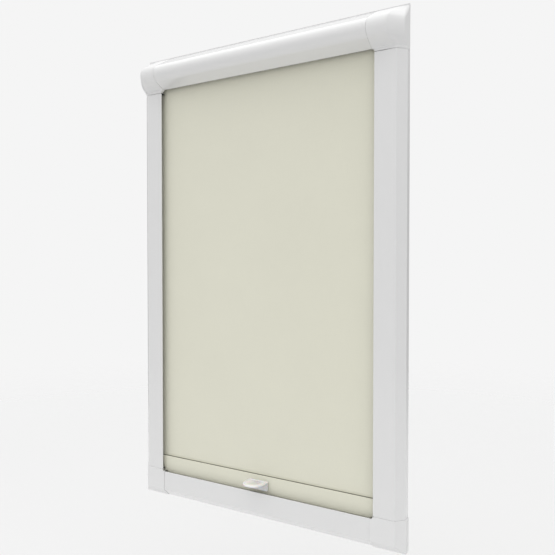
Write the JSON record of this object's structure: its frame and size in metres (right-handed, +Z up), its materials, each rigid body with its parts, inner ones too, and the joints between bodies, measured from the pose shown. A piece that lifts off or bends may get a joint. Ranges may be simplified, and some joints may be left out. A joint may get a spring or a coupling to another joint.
{
  "type": "framed roller blind",
  "caption": "Wall-hung framed roller blind: a cassette with a sprung roller, side and bottom channels, and a cloth on a sliding pull bar.",
  "frame": {"origin": "middle of the cassette's wall face", "axes": "+X across the window to the right seen from the room, +Y into the wall, +Z up"},
  "size_m": [0.508, 0.0515, 0.821],
  "materials": {
    "white_paint": "white satin powder coat",
    "white_plastic": "white moulded plastic, fine texture",
    "fabric": "tight plain-weave blackout cloth, pale cream",
    "pile": "short grey pile",
    "aluminium": "mill",
    "steel": "bright zinc",
    "spring_steel": "oiled",
    "nylon": "natural nylon",
    "rubber": "matt",
    "handle_plastic": "pale grey, softly glossy"
  },
  "bodies": {
    "frame": {"cassette_back": "white_paint", "cassette_cover": "white_paint", "end_cap_left": "white_plastic", "end_cap_right": "white_plastic", "side_channel_left": "white_paint", "side_channel_right": "white_paint", "bottom_channel": "white_paint", "bottom_corner_left": "white_plastic", "bottom_corner_right": "white_plastic", "roller_bracket_left": "steel", "roller_bracket_right": "steel", "bracket_screw_left_1": "steel", "bracket_screw_left_2": "steel", "bracket_screw_right_1": "steel", "bracket_screw_right_2": "steel", "cap_screw_left_1": "steel", "cap_screw_left_2": "steel", "cap_screw_right_1": "steel", "cap_screw_right_2": "steel", "spring_shaft": "steel", "spring_anchor": "nylon", "torsion_spring": "spring_steel", "pile_front_left": "pile", "pile_front_right": "pile", "pile_rear_left": "pile", "pile_rear_right": "pile", "pile_cassette": "pile", "pile_bottom": "pile", "fabric_sheet": "fabric"},
    "roller": {"roller_tube": "aluminium", "fabric_roll": "fabric", "drive_plug": "nylon", "idle_plug": "nylon", "idle_pin": "steel"},
    "pull_bar": {"bar_core": "aluminium", "bar_sleeve": "fabric", "bar_spline": "nylon", "bar_end_left": "nylon", "bar_end_right": "nylon", "friction_pad_left": "rubber", "friction_pad_right": "rubber", "pull_handle": "handle_plastic", "handle_screw_1": "steel", "handle_screw_2": "steel"}
  },
  "joints": [
    {"name": "bar_slide", "type": "slide", "parent": "frame", "child": "pull_bar", "axis": [0, 0, 1], "range_m": [0, 0.684], "deforming": ["fabric_sheet"]},
    {"name": "roller_spin", "type": "hinge", "parent": "frame", "child": "roller", "pos_m": [0, -0.02695, -0.0075], "axis": [1, 0, 0], "range_deg": [-5, 2815]}
  ],
  "couplings": [
    {"joint": "roller_spin", "follows": "bar_slide", "rad_per_m": 71.685}
  ]
}
